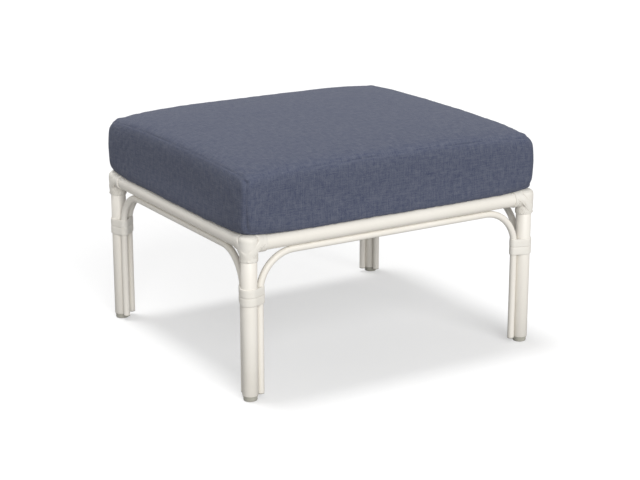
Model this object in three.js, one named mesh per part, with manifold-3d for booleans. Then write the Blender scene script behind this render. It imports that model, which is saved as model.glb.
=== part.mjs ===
// An outdoor ottoman footstool: a frame of round tube dressed as bound rattan, with bent
// arch poles, strap bindings and foot glides, under a loose box cushion.
// Millimetres, +Z up. The origin is on the floor, under the middle of the stool.
// X runs along the long side and Y along the short side.
import * as THREE from 'three';
import { mergeVertices } from 'three/addons/utils/BufferGeometryUtils.js';
import Module from 'manifold-3d';

const wasm = await Module();
wasm.setup();

// Frame, measured over the tubes
const FRAME_LENGTH = 686;
const FRAME_WIDTH = 610;
const FRAME_HEIGHT = 330;
const TUBE_DIAMETER = 31.8;
const TUBE_WALL = 1.6;

// Clearance between pieces that touch on the real stool, and overrun of every cutting shape
const FIT = 0.3;
const OVERRUN = 4;
const MERGE_DISTANCE = 0.0001;

// Arch poles, bent from thin tube
const POLE_DIAMETER = 14;
const POLE_WALL = 1.4;
const BEND_RADIUS = 76;

// Plugs in the lower ends of the arch poles
const PLUG_FLANGE = 1.6;
const PLUG_STEM_LENGTH = 9;
const PLUG_EDGE = 0.5;

// Foot glides
const GLIDE_HEIGHT = 11;
const GLIDE_DIAMETER = 28;
const GLIDE_FLANGE_DIAMETER = 30.4;
const GLIDE_FLANGE_THICKNESS = 1.8;
const GLIDE_EDGE = 2.2;
const GLIDE_STEM_LENGTH = 22;
const GLIDE_RIB_HEIGHT = 0.7;
const GLIDE_RIB_WIDTH = 2.4;

// Caps that close the posts at the top
const CAP_RISE = 2.6;
const CAP_STEM_LENGTH = 8;

// Bindings
const STRAP_THICKNESS = 2.2;
const STRAP_WIDTH = 10.5;
const STRAP_CROWN = 0.9;
const COLLAR_CENTRE = 27.5;
const DIAGONAL_REACHES = [21.5, 11.5];
const PAD_THICKNESS = 4;
const PAD_LOW = 18;
const PAD_LOW_DRAW = 2.4;
const PAD_EDGE_DRAW = 1;
const PAD_CROWN = 0.4;
const BAND_CENTRE = 211;
const BAND_TURN_WIDTH = 17;
const BAND_TURNS = 2;
const BAND_SLOPE_SHARE = 0.25;
const TUCK_WIDTH = 9;
const TUCK_HEIGHT = 12;
const TUCK_THICKNESS = 1.6;

// Deck bars under the cushion
const BAR_COUNT = 5;
const BAR_WIDTH = 40;
const BAR_THICKNESS = 4;
const BAR_EDGE = 1.2;
const BAR_DROP = 6;

// Cushion, with its reach past the frame, side panel, crown and seams
const CUSHION_OVERHANG = 7;
const CUSHION_SIDE = 121;
const CUSHION_CROWN = 24;
const CUSHION_CORNER_RADIUS = 34;
const CUSHION_CORNER_DROP = 15;
const CUSHION_CORNER_LIFT = 7;
const CUSHION_DRAW_IN = 7;
const COVER_THICKNESS = 2;

// Zip in the back panel of the cover
const ZIP_LENGTH = 430;
const ZIP_WIDTH = 9;
const ZIP_DEPTH = 30;
const SLIDER_LENGTH = 11;
const SLIDER_WIDTH = 7;
const SLIDER_THICKNESS = 2.4;
const PULL_LENGTH = 20;
const PULL_WIDTH = 5;
const PULL_THICKNESS = 1.2;

// Counts of facets
const TUBE_FACETS = 24;
const BORE_FACETS = 16;
const POLE_FACETS = 12;
const POLE_BORE_FACETS = 8;
const BEND_STEPS = 7;
const SMALL_FACETS = 18;
const PAD_FACETS = 16;
const CAP_DOME_STEPS = 3;
const TUCK_STEPS = 5;
const OUTLINE_POINTS = 96;
const COLLAR_STATIONS = 16;
const DIAGONAL_STATIONS = 18;
const BAND_STATIONS = 22;

// Places that follow from the sizes above
const TUBE_RADIUS = TUBE_DIAMETER / 2;
const BORE_RADIUS = TUBE_RADIUS - TUBE_WALL;
const POLE_RADIUS = POLE_DIAMETER / 2;
const POST_X = FRAME_LENGTH / 2 - TUBE_RADIUS;
const POST_Y = FRAME_WIDTH / 2 - TUBE_RADIUS;
const RAIL_Z = FRAME_HEIGHT - TUBE_RADIUS;
const POLE_OFFSET = TUBE_RADIUS + POLE_RADIUS + FIT;
const ARCH_TOP_Z = RAIL_Z - POLE_OFFSET;
const BEND_START_Z = ARCH_TOP_Z - BEND_RADIUS;
const POST_TOP_Z = FRAME_HEIGHT - CAP_RISE;
const CUSHION_LENGTH = FRAME_LENGTH + 2 * CUSHION_OVERHANG;
const CUSHION_WIDTH = FRAME_WIDTH + 2 * CUSHION_OVERHANG;
const CUSHION_BOTTOM_Z = FRAME_HEIGHT + FIT;
const QUARTER_TURN = Math.PI / 2;

// The four corners, going round, each a quarter turn on from the one before.
const CORNERS = [
  { name: 'front_left', x: -POST_X, y: -POST_Y, turn: 0 },
  { name: 'front_right', x: POST_X, y: -POST_Y, turn: QUARTER_TURN },
  { name: 'back_right', x: POST_X, y: POST_Y, turn: 2 * QUARTER_TURN },
  { name: 'back_left', x: -POST_X, y: POST_Y, turn: 3 * QUARTER_TURN },
];

// The four sides. Each lies along X before its turn, half its span from the middle.
const SIDES = [
  { name: 'front', x: 0, y: -POST_Y, turn: 0, reach: POST_X },
  { name: 'right', x: POST_X, y: 0, turn: QUARTER_TURN, reach: POST_Y },
  { name: 'back', x: 0, y: POST_Y, turn: 2 * QUARTER_TURN, reach: POST_X },
  { name: 'left', x: -POST_X, y: 0, turn: 3 * QUARTER_TURN, reach: POST_Y },
];

const finish = (color, roughness, metalness) => {
  return new THREE.MeshStandardMaterial({ color, roughness, metalness });
};
const ivoryPaint = () => finish(0xebe7dc, 0.45, 0);
const ivoryStrap = () => finish(0xe6e0d2, 0.6, 0);
const greyPlastic = () => finish(0xa9a9a6, 0.55, 0);
const blueFabric = () => finish(0x5c6280, 0.95, 0);
const paleFoam = () => finish(0xefe9cf, 1, 0);
const blueTape = () => finish(0x3f455c, 0.8, 0);
const zincMetal = () => finish(0x8d9096, 0.35, 0.9);

// A closed geometry with shared vertices and no other attributes.
function closed(geometry) {
  const bare = geometry.clone();
  for (const name of Object.keys(bare.attributes)) {
    if (name !== 'position') bare.deleteAttribute(name);
  }
  return mergeVertices(bare, MERGE_DISTANCE);
}

function solidOf(geometry) {
  const merged = closed(geometry);
  return new wasm.Manifold(
    new wasm.Mesh({
      numProp: 3,
      vertProperties: new Float32Array(merged.attributes.position.array),
      triVerts: new Uint32Array(merged.index.array),
    }),
  );
}

function geometryOf(solid) {
  const mesh = solid.getMesh();
  const geometry = new THREE.BufferGeometry();
  const positions = new Float32Array(mesh.vertProperties);
  geometry.setAttribute('position', new THREE.BufferAttribute(positions, 3));
  geometry.setIndex(new THREE.BufferAttribute(new Uint32Array(mesh.triVerts), 1));
  geometry.computeVertexNormals();
  return geometry;
}

// The first geometry less all the others.
function cut(geometry, ...cutters) {
  const whole = solidOf(geometry);
  return geometryOf(cutters.reduce((rest, cutter) => rest.subtract(solidOf(cutter)), whole));
}

function join(...geometries) {
  return geometryOf(geometries.map(solidOf).reduce((sum, solid) => sum.add(solid)));
}

// A geometry moved by its matrix, so that it can be cut where it stands.
function moved(geometry, x, y, z, turn = 0) {
  return geometry.clone().rotateZ(turn).translate(x, y, z);
}

function addMesh(group, name, geometry, material) {
  const mesh = new THREE.Mesh(geometry, material);
  mesh.name = name;
  group.add(mesh);
  return mesh;
}

// Profiles are lists of [radius, height] from the lower end of the axis round to the upper end.
function turned(profile, facets) {
  const points = profile.map(([radius, height]) => new THREE.Vector2(radius, height));
  return new THREE.LatheGeometry(points, facets).rotateX(QUARTER_TURN);
}

// A round tube along Z from low to high. Outside and bore have facet counts of their own.
function openTube(low, high, outerRadius, outerFacets, boreRadius, boreFacets) {
  const ring = new THREE.Shape();
  ring.setFromPoints(circlePoints(outerRadius, outerFacets));
  ring.holes.push(new THREE.Path().setFromPoints(circlePoints(boreRadius, boreFacets)));
  const geometry = new THREE.ExtrudeGeometry(ring, { depth: high - low, bevelEnabled: false });
  return geometry.translate(0, 0, low);
}

function circlePoints(radius, facets) {
  return Array.from({ length: facets }, (_, i) => {
    const angle = (i / facets) * 2 * Math.PI;
    return new THREE.Vector2(radius * Math.cos(angle), radius * Math.sin(angle));
  });
}

// A solid round bar along X, used to cut the seat of a tube that meets another.
function barAlongX(radius, halfLength) {
  return new THREE.CylinderGeometry(radius, radius, 2 * halfLength, TUBE_FACETS).rotateZ(QUARTER_TURN);
}

function barAlongZ(radius, low, high) {
  const bar = new THREE.CylinderGeometry(radius, radius, high - low, TUBE_FACETS).rotateX(QUARTER_TURN);
  return bar.translate(0, 0, (low + high) / 2);
}

// Leg posts

function postGeometry() {
  return openTube(GLIDE_HEIGHT, POST_TOP_Z, TUBE_RADIUS, TUBE_FACETS, BORE_RADIUS, BORE_FACETS);
}

function postCapGeometry() {
  const stem = BORE_RADIUS * Math.cos(Math.PI / BORE_FACETS) - FIT;
  const seat = POST_TOP_Z + FIT;
  const profile = [
    [0, seat - CAP_STEM_LENGTH],
    [stem, seat - CAP_STEM_LENGTH],
    [stem, seat],
    [TUBE_RADIUS, seat],
  ];
  for (let i = 1; i < CAP_DOME_STEPS; i += 1) {
    const angle = (i / CAP_DOME_STEPS) * QUARTER_TURN;
    profile.push([TUBE_RADIUS * Math.cos(angle), seat + (CAP_RISE - FIT) * Math.sin(angle)]);
  }
  profile.push([0, FRAME_HEIGHT]);
  return turned(profile, SMALL_FACETS);
}

// A glide stands on the floor and its ribbed stem sits in the post.
function glideGeometry() {
  const radius = GLIDE_DIAMETER / 2;
  const rib = BORE_RADIUS * Math.cos(Math.PI / BORE_FACETS) - FIT;
  const stem = rib - GLIDE_RIB_HEIGHT;
  const top = GLIDE_HEIGHT - FIT;
  const ribLow = top + GLIDE_STEM_LENGTH / 2 - GLIDE_RIB_WIDTH;
  const ribHigh = top + GLIDE_STEM_LENGTH / 2 + GLIDE_RIB_WIDTH;
  return turned(
    [
      [0, 0],
      [radius - GLIDE_EDGE, 0],
      [radius, GLIDE_EDGE],
      [radius, top - GLIDE_FLANGE_THICKNESS],
      [GLIDE_FLANGE_DIAMETER / 2, top - GLIDE_FLANGE_THICKNESS],
      [GLIDE_FLANGE_DIAMETER / 2, top],
      [stem, top],
      [stem, ribLow],
      [rib, ribLow + GLIDE_RIB_HEIGHT],
      [stem, ribHigh],
      [stem, top + GLIDE_STEM_LENGTH],
      [0, top + GLIDE_STEM_LENGTH],
    ],
    SMALL_FACETS,
  );
}

// Rails: the long ones are coped to the posts, the short ones to the posts and to the long ones.

function railGeometry(side) {
  const run = side.reach + TUBE_RADIUS;
  const tube = openTube(-run, run, TUBE_RADIUS, TUBE_FACETS, BORE_RADIUS, BORE_FACETS);
  tube.rotateY(QUARTER_TURN);
  const seatRadius = TUBE_RADIUS + FIT;
  const cutters = [];
  for (const end of [-side.reach, side.reach]) {
    cutters.push(barAlongZ(seatRadius, -run, run).translate(end, 0, 0));
    cutters.push(endCutter(end, run));
    if (side.reach === POST_Y) {
      cutters.push(moved(barAlongX(seatRadius, POST_X), end, 0, 0, QUARTER_TURN));
    }
  }
  return cut(tube, ...cutters);
}

// A block that takes off what a coped tube leaves beyond the axis of the post.
function endCutter(end, run) {
  const length = TUBE_DIAMETER + OVERRUN;
  const block = new THREE.BoxGeometry(length, run, run);
  return block.translate(end + (Math.sign(end) * length) / 2, 0, 0);
}

// Arch poles

// A path given by its own stations, with the direction at each, so that straight runs take one step.
class StationPath extends THREE.Curve {
  constructor(stations) {
    super();
    this.stations = stations;
  }

  stationAt(t) {
    return this.stations[Math.round(t * (this.stations.length - 1))];
  }

  getPoint(t, target = new THREE.Vector3()) {
    return target.copy(this.stationAt(t).point);
  }

  getPointAt(t, target) {
    return this.getPoint(t, target);
  }

  getTangent(t, target = new THREE.Vector3()) {
    return target.copy(this.stationAt(t).direction);
  }

  getTangentAt(t, target) {
    return this.getTangent(t, target);
  }
}

// The centre line of an arch's left leg in the XZ plane: up from its foot and over through its bend.
function legStations(footZ) {
  const stations = [{ point: new THREE.Vector3(0, 0, footZ), direction: new THREE.Vector3(0, 0, 1) }];
  for (let i = 0; i <= BEND_STEPS; i += 1) {
    const angle = (i / BEND_STEPS) * QUARTER_TURN;
    const x = BEND_RADIUS * (1 - Math.cos(angle));
    const z = BEND_START_Z + BEND_RADIUS * Math.sin(angle);
    const direction = new THREE.Vector3(Math.sin(angle), 0, Math.cos(angle));
    stations.push({ point: new THREE.Vector3(x, 0, z), direction });
  }
  return stations;
}

// Both legs, their feet halfSpan to each side of the middle.
function archStations(halfSpan) {
  const left = legStations(GLIDE_HEIGHT);
  for (const { point } of left) point.x -= halfSpan;
  const right = left.map(({ point, direction }) => ({
    point: new THREE.Vector3(-point.x, 0, point.z),
    direction: new THREE.Vector3(direction.x, 0, -direction.z),
  }));
  return [...left, ...right.reverse()];
}

// A solid or hollow pole along its stations.
function poleGeometry(stations, radius, boreRadius = 0) {
  const section = new THREE.Shape();
  section.setFromPoints(circlePoints(radius, POLE_FACETS));
  if (boreRadius > 0) {
    section.holes.push(new THREE.Path().setFromPoints(circlePoints(boreRadius, POLE_BORE_FACETS)));
  }
  return new THREE.ExtrudeGeometry(section, {
    steps: stations.length - 1,
    bevelEnabled: false,
    extrudePath: new StationPath(stations),
  });
}

function archGeometry(side) {
  return poleGeometry(archStations(side.reach - POLE_OFFSET), POLE_RADIUS, POLE_RADIUS - POLE_WALL);
}

function plugGeometry() {
  const stem = (POLE_RADIUS - POLE_WALL) * Math.cos(Math.PI / POLE_BORE_FACETS) - FIT;
  const seat = GLIDE_HEIGHT - FIT;
  return turned(
    [
      [0, seat - PLUG_FLANGE],
      [POLE_RADIUS - PLUG_EDGE, seat - PLUG_FLANGE],
      [POLE_RADIUS, seat - PLUG_FLANGE + PLUG_EDGE],
      [POLE_RADIUS, seat],
      [stem, seat],
      [stem, seat + PLUG_STEM_LENGTH],
      [0, seat + PLUG_STEM_LENGTH],
    ],
    POLE_FACETS,
  );
}

// Bindings. Each turn of strap is a closed band swept along a loop of stations.
// A station has a point on the strap's inner face, its outward normal and its width direction.

function bandGeometry(stations, profile) {
  const positions = [];
  const indices = [];
  for (const { point, outward, across } of stations) {
    for (const [width, height] of profile) {
      positions.push(
        point.x + across.x * width + outward.x * height,
        point.y + across.y * width + outward.y * height,
        point.z + across.z * width + outward.z * height,
      );
    }
  }
  const count = profile.length;
  stations.forEach((_, i) => {
    const next = (i + 1) % stations.length;
    for (let j = 0; j < count; j += 1) {
      const a = i * count + j;
      const b = i * count + ((j + 1) % count);
      const c = next * count + ((j + 1) % count);
      const d = next * count + j;
      indices.push(a, b, c, a, c, d);
    }
  });
  const geometry = new THREE.BufferGeometry();
  geometry.setAttribute('position', new THREE.Float32BufferAttribute(positions, 3));
  geometry.setIndex(indices);
  return geometry;
}

// A strap's section: flat inside, crowned outside.
function strapProfile(width) {
  return [
    [-width / 2, 0],
    [width / 2, 0],
    [width / 2, STRAP_THICKNESS - STRAP_CROWN],
    [0, STRAP_THICKNESS],
    [-width / 2, STRAP_THICKNESS - STRAP_CROWN],
  ];
}

// The points of a convex outline round a set of flat points, anticlockwise.
function outlineRound(points) {
  const sorted = [...points].sort((a, b) => a.u - b.u || a.v - b.v);
  const half = (list) => {
    const chain = [];
    for (const p of list) {
      while (chain.length > 1 && turnOf(chain.at(-2), chain.at(-1), p) <= 0) {
        chain.pop();
      }
      chain.push(p);
    }
    chain.pop();
    return chain;
  };
  return [...half(sorted), ...half(sorted.reverse())];
}

function turnOf(a, b, c) {
  return (b.u - a.u) * (c.v - a.v) - (b.v - a.v) * (c.u - a.u);
}

// Stations along a closed outline whose points carry a point in space and an outward normal.
// They are spread half by length and half by turn, so that tight bends get their share.
function spreadStations(outline, count) {
  const next = (i) => outline[(i + 1) % outline.length];
  const lengths = outline.map((p, i) => p.point.distanceTo(next(i).point));
  const turns = outline.map((p, i) => p.outward.angleTo(next(i).outward));
  const sum = (list) => list.reduce((all, one) => all + one);
  const costs = lengths.map((length, i) => length / sum(lengths) + turns[i] / sum(turns));
  const step = sum(costs) / count;
  const places = [];
  let edge = 0;
  let passed = 0;
  for (let i = 0; i < count; i += 1) {
    const along = i * step;
    while (passed + costs[edge] < along) {
      passed += costs[edge];
      edge += 1;
    }
    const share = (along - passed) / costs[edge];
    const from = outline[edge];
    const to = next(edge);
    places.push({
      point: from.point.clone().lerp(to.point, share),
      outward: from.outward.clone().lerp(to.outward, share).normalize(),
    });
  }
  return places.map(({ point, outward }, i) => {
    const before = places[(i + count - 1) % count].point;
    const after = places[(i + 1) % count].point;
    const along = after.clone().sub(before).normalize();
    const across = outward.clone().cross(along).normalize();
    return { point, outward: along.clone().cross(across).normalize(), across };
  });
}

// The three members that leave a corner: each has the way it leaves, and how far back it reaches.
const alongX = new THREE.Vector3(1, 0, 0);
const alongY = new THREE.Vector3(0, 1, 0);
const alongZ = new THREE.Vector3(0, 0, 1);
const MEMBERS = [
  { away: alongX, side: alongY, up: alongZ, back: 0 },
  { away: alongY, side: alongZ, up: alongX, back: 0 },
  { away: alongZ.clone().negate(), side: alongX, up: alongY.clone().negate(), back: TUBE_RADIUS },
];

// A full turn of strap round one member, its middle at COLLAR_CENTRE from the corner.
function collarGeometry({ away, side, up }) {
  const stations = Array.from({ length: COLLAR_STATIONS }, (_, i) => {
    const angle = (i / COLLAR_STATIONS) * 2 * Math.PI;
    const outward = side.clone().multiplyScalar(Math.cos(angle)).addScaledVector(up, Math.sin(angle));
    const point = away.clone().multiplyScalar(COLLAR_CENTRE).addScaledVector(outward, TUBE_RADIUS);
    return { point, outward, across: away };
  });
  return bandGeometry(stations, strapProfile(STRAP_WIDTH));
}

// A strap drawn round the outside of the corner, over all three members in turn.
// It lies in a plane square to the corner's diagonal and crosses each member at the given reach.
function diagonalGeometry(reach) {
  const diagonal = new THREE.Vector3(1, 1, -1).normalize();
  const u = new THREE.Vector3(1, -1, 0).normalize();
  const v = diagonal.clone().cross(u);
  const shift = (reach - Math.SQRT2 * TUBE_RADIUS) / Math.sqrt(3);
  const touching = [];
  for (const { away, side, up, back } of MEMBERS) {
    for (let i = 0; i < OUTLINE_POINTS; i += 1) {
      const angle = (i / OUTLINE_POINTS) * 2 * Math.PI;
      const outward = side.clone().multiplyScalar(Math.cos(angle)).addScaledVector(up, Math.sin(angle));
      const point = outward.clone().multiplyScalar(TUBE_RADIUS);
      const along = (shift - point.dot(diagonal)) / away.dot(diagonal);
      if (along < -back) continue;
      point.addScaledVector(away, along);
      touching.push({ point, outward, u: point.dot(u), v: point.dot(v) });
    }
  }
  const stations = spreadStations(outlineRound(touching), DIAGONAL_STATIONS);
  return bandGeometry(stations, strapProfile(STRAP_WIDTH));
}

// A domed pad over the outside and the top of the corner, under the straps.
function cornerPadGeometry() {
  const radius = TUBE_RADIUS + PAD_THICKNESS;
  return turned(
    [
      [0, -PAD_LOW],
      [radius - PAD_LOW_DRAW, -PAD_LOW],
      [radius, -PAD_LOW / 2],
      [radius, TUBE_RADIUS / 2],
      [radius - PAD_EDGE_DRAW, TUBE_RADIUS],
      [TUBE_RADIUS, radius - PAD_EDGE_DRAW],
      [TUBE_RADIUS / 2, radius],
      [0, radius + PAD_CROWN],
    ],
    PAD_FACETS,
  );
}

// What a corner binding goes round, with its clearance: the post and the two rails.
function cornerMembers() {
  const radius = TUBE_RADIUS + FIT;
  const reach = COLLAR_CENTRE + STRAP_WIDTH;
  return [
    barAlongZ(radius, -reach, TUBE_RADIUS + FIT),
    moved(barAlongX(radius, reach / 2), reach / 2, 0, 0),
    moved(barAlongX(radius, reach / 2), 0, reach / 2, 0, QUARTER_TURN),
  ];
}

function cornerBindingGeometry() {
  const straps = join(
    cornerPadGeometry(),
    ...MEMBERS.map(collarGeometry),
    ...DIAGONAL_REACHES.map(diagonalGeometry),
  );
  return cut(straps, ...cornerMembers());
}

// The binding half way up a leg goes round the post and both poles beside it.
function midBindingGeometry() {
  const bandTop = BAND_CENTRE + (BAND_TURNS * BAND_TURN_WIDTH) / 2;
  const rise = Math.max(bandTop - BEND_START_Z, 0);
  const lean = BEND_RADIUS - Math.sqrt(BEND_RADIUS ** 2 - rise ** 2);
  const poleReach = POLE_OFFSET + lean;
  const rounds = [
    { x: 0, y: 0, radius: TUBE_RADIUS },
    { x: poleReach, y: 0, radius: POLE_RADIUS },
    { x: 0, y: poleReach, radius: POLE_RADIUS },
  ];
  const touching = [];
  for (const { x, y, radius } of rounds) {
    for (let i = 0; i < OUTLINE_POINTS; i += 1) {
      const angle = (i / OUTLINE_POINTS) * 2 * Math.PI;
      const outward = new THREE.Vector3(Math.cos(angle), Math.sin(angle), 0);
      const point = new THREE.Vector3(x, y, BAND_CENTRE).addScaledVector(outward, radius + FIT);
      touching.push({ point, outward, u: point.x, v: point.y });
    }
  }
  const stations = spreadStations(outlineRound(touching), BAND_STATIONS);
  const width = BAND_TURN_WIDTH * BAND_TURNS;
  const slope = BAND_TURN_WIDTH * BAND_SLOPE_SHARE;
  const profile = [[-width / 2, 0], [width / 2, 0]];
  for (let turn = BAND_TURNS - 1; turn >= 0; turn -= 1) {
    const low = turn * BAND_TURN_WIDTH - width / 2;
    const high = low + BAND_TURN_WIDTH;
    profile.push([high, STRAP_THICKNESS - STRAP_CROWN]);
    profile.push([high - slope, STRAP_THICKNESS]);
    profile.push([low + slope, STRAP_THICKNESS]);
  }
  profile.push([-width / 2, STRAP_THICKNESS - STRAP_CROWN]);
  const band = join(bandGeometry(stations, profile), tuckGeometry(poleReach));
  const pole = poleGeometry(legStations(BAND_CENTRE - width), POLE_RADIUS + FIT);
  return cut(
    band,
    barAlongZ(TUBE_RADIUS + FIT, BAND_CENTRE - width, BAND_CENTRE + width),
    moved(pole, POLE_OFFSET, 0, 0),
    moved(pole, 0, POLE_OFFSET, 0, QUARTER_TURN),
  );
}

// The tucked end of the strap stands up a little on the pole beside the post.
function tuckGeometry(poleReach) {
  const outline = new THREE.Shape();
  outline.absellipse(0, 0, TUCK_WIDTH / 2, TUCK_HEIGHT / 2, 0, 2 * Math.PI, false, 0);
  const tuck = new THREE.ExtrudeGeometry(outline, {
    depth: TUCK_THICKNESS,
    bevelEnabled: false,
    curveSegments: TUCK_STEPS,
  });
  const inside = poleReach + POLE_RADIUS + FIT + STRAP_THICKNESS - TUCK_THICKNESS / 2;
  return tuck.rotateX(QUARTER_TURN).rotateZ(QUARTER_TURN).translate(inside, 0, BAND_CENTRE);
}

// Deck bars

function barGeometry() {
  const w = BAR_WIDTH / 2;
  const t = BAR_THICKNESS / 2;
  const e = BAR_EDGE;
  const section = new THREE.Shape();
  section.moveTo(-w + e, -t);
  section.lineTo(w - e, -t);
  section.lineTo(w, -t + e);
  section.lineTo(w, t - e);
  section.lineTo(w - e, t);
  section.lineTo(-w + e, t);
  section.lineTo(-w, t - e);
  section.lineTo(-w, -t + e);
  section.closePath();
  const bar = new THREE.ExtrudeGeometry(section, { depth: 2 * POST_Y, bevelEnabled: false });
  bar.rotateX(QUARTER_TURN).translate(0, POST_Y, FRAME_HEIGHT - BAR_DROP - BAR_THICKNESS / 2);
  const seat = barAlongX(TUBE_RADIUS + FIT, BAR_WIDTH).translate(0, 0, RAIL_Z);
  return cut(bar, moved(seat, 0, -POST_Y, 0), moved(seat, 0, POST_Y, 0));
}

// Cushion

// Shares along a side, from one corner to the next, where the cover's outline has points, and
// where the plainer outline of the foam and of the cover's inside has them.
const COVER_SIDE_SHARES = [-0.75, -0.4, 0, 0.4, 0.75];
const FOAM_SIDE_SHARES = [-0.5, 0, 0.5];
const COVER_CORNER_STEPS = 4;
const FOAM_CORNER_STEPS = 2;

// The rings of the cushion, from its flat bottom to its crown. Each has an inset from the widest
// line as a share of the corner radius, its height as a share of the side panel's and of the
// crown's, and its share of the sides' draw-in, of the corners' lift and of their drop.
const RING_SHARES = [
  { inset: 3.2, side: 0, crown: 0, draw: 0.2, lift: 0, drop: 0, plain: true },
  { inset: 0.62, side: 0, crown: 0, draw: 0.6, lift: 0.85, drop: 0, plain: true },
  { inset: 0.2, side: 0.03, crown: 0, draw: 1, lift: 0.95, drop: 0 },
  { inset: 0.06, side: 0.13, crown: 0, draw: 1, lift: 0.8, drop: 0, plain: true },
  { inset: 0, side: 0.38, crown: 0, draw: 1, lift: 0.4, drop: 0.2, plain: true },
  { inset: 0, side: 0.68, crown: 0, draw: 1, lift: 0.1, drop: 0.6, plain: true },
  { inset: 0.08, side: 0.93, crown: 0, draw: 1, lift: 0, drop: 0.95 },
  { inset: 0.16, side: 1, crown: 0, draw: 1, lift: 0, drop: 1, plain: true },
  { inset: 0.6, side: 1, crown: 0.42, draw: 0.9, lift: 0, drop: 0.7 },
  { inset: 1.5, side: 1, crown: 0.7, draw: 0.7, lift: 0, drop: 0.25, plain: true },
  { inset: 3.2, side: 1, crown: 0.9, draw: 0.3, lift: 0, drop: 0 },
  { inset: 5.6, side: 1, crown: 1, draw: 0, lift: 0, drop: 0, plain: true },
];

// The corner radius grows with a ring's inset by this share of it. The power sets how close to the
// corners their lift and drop keep.
const CORNER_GROWTH_SHARE = 0.25;
const CORNER_POWER = 5;

// One ring of the cushion: a rounded rectangle whose sides are drawn in between the corners.
// Each point carries how near it is to a corner, from 0 at the middle of a side to 1.
function cushionOutline(inset, drawIn, sideShares, cornerSteps) {
  const a = CUSHION_LENGTH / 2 - inset;
  const b = CUSHION_WIDTH / 2 - inset;
  const radius = CUSHION_CORNER_RADIUS + inset * CORNER_GROWTH_SHARE;
  const halves = [b, a, b, a];
  const spans = [a, b, a, b];
  const points = [];
  halves.forEach((half, side) => {
    const turn = side * QUARTER_TURN;
    const straight = spans[side] - radius;
    const add = (x, y, corner) => {
      points.push({
        x: x * Math.cos(turn) - y * Math.sin(turn),
        y: x * Math.sin(turn) + y * Math.cos(turn),
        corner,
      });
    };
    for (const share of sideShares) {
      add(share * straight, drawIn * (1 - share ** 2) - half, Math.abs(share) ** CORNER_POWER);
    }
    for (let i = 0; i <= cornerSteps; i += 1) {
      const angle = (i / cornerSteps) * QUARTER_TURN;
      add(straight + radius * Math.sin(angle), radius * (1 - Math.cos(angle)) - half, 1);
    }
  });
  return points;
}

// The cushion's form, drawn in all round by skin. The plain form has fewer points and rings.
function cushionGeometry(skin, plain) {
  const rings = RING_SHARES.filter((ring) => ring.plain || !plain);
  const sideShares = plain ? FOAM_SIDE_SHARES : COVER_SIDE_SHARES;
  const cornerSteps = plain ? FOAM_CORNER_STEPS : COVER_CORNER_STEPS;
  const low = CUSHION_BOTTOM_Z + skin;
  const positions = [];
  for (const { inset, side, crown, draw, lift, drop } of rings) {
    const ringInset = inset * CUSHION_CORNER_RADIUS + skin;
    const height = side * (CUSHION_SIDE - 2 * skin) + crown * CUSHION_CROWN;
    const atCorner = lift * CUSHION_CORNER_LIFT - drop * CUSHION_CORNER_DROP;
    const outline = cushionOutline(ringInset, draw * CUSHION_DRAW_IN, sideShares, cornerSteps);
    for (const { x, y, corner } of outline) {
      positions.push(x, y, low + height + corner * atCorner);
    }
  }
  const count = positions.length / 3 / rings.length;
  const indices = [];
  for (let start = 0; start < (rings.length - 1) * count; start += count) {
    for (let i = 0; i < count; i += 1) {
      const a = start + i;
      const b = start + ((i + 1) % count);
      indices.push(a, b, b + count, a, b + count, a + count);
    }
  }
  const last = (rings.length - 1) * count;
  const bottom = positions.length / 3;
  positions.push(0, 0, low);
  positions.push(0, 0, positions[3 * last + 2]);
  for (let i = 0; i < count; i += 1) {
    const next = (i + 1) % count;
    indices.push(bottom, next, i);
    indices.push(bottom + 1, last + i, last + next);
  }
  const geometry = new THREE.BufferGeometry();
  geometry.setAttribute('position', new THREE.Float32BufferAttribute(positions, 3));
  geometry.setIndex(indices);
  return geometry;
}

// The slot that the zip closes, in the middle of the back side panel.
function zipSlot(clearance) {
  const length = ZIP_LENGTH - 2 * clearance;
  const slot = new THREE.BoxGeometry(length, ZIP_DEPTH, ZIP_WIDTH - 2 * clearance);
  return slot.translate(0, CUSHION_WIDTH / 2, CUSHION_BOTTOM_Z + CUSHION_SIDE / 2);
}

function coverShell() {
  const outside = solidOf(cushionGeometry(0, false));
  return outside.subtract(solidOf(cushionGeometry(COVER_THICKNESS, true)));
}

function coverGeometry() {
  return geometryOf(coverShell().subtract(solidOf(zipSlot(0))));
}

// The zip's tape follows the curve of the panel that it closes.
function zipTapeGeometry() {
  return geometryOf(coverShell().intersect(solidOf(zipSlot(FIT))));
}

// How far out the back panel stands at x, along the straight facets between its points.
function backPanelY(x) {
  const straight = CUSHION_LENGTH / 2 - CUSHION_CORNER_RADIUS;
  const shares = [-1, ...COVER_SIDE_SHARES, 1];
  const after = shares.findIndex((share) => share * straight > x);
  const from = shares[after - 1];
  const to = shares[after];
  const share = (x / straight - from) / (to - from);
  const pull = (place) => CUSHION_DRAW_IN * (1 - place ** 2);
  return CUSHION_WIDTH / 2 - pull(from) * (1 - share) - pull(to) * share;
}

function sliderGeometry() {
  const body = new THREE.BoxGeometry(SLIDER_LENGTH, SLIDER_THICKNESS, SLIDER_WIDTH);
  const pull = new THREE.BoxGeometry(PULL_WIDTH, PULL_THICKNESS, PULL_LENGTH);
  pull.translate(0, SLIDER_THICKNESS / 2, -PULL_LENGTH / 2);
  const x = ZIP_LENGTH / 2 - SLIDER_LENGTH;
  const seat = Math.max(backPanelY(x - SLIDER_LENGTH / 2), backPanelY(x + SLIDER_LENGTH / 2)) + FIT;
  const z = CUSHION_BOTTOM_Z + CUSHION_SIDE / 2;
  return join(body, pull).translate(x, seat + SLIDER_THICKNESS / 2, z);
}

// The whole stool

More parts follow.
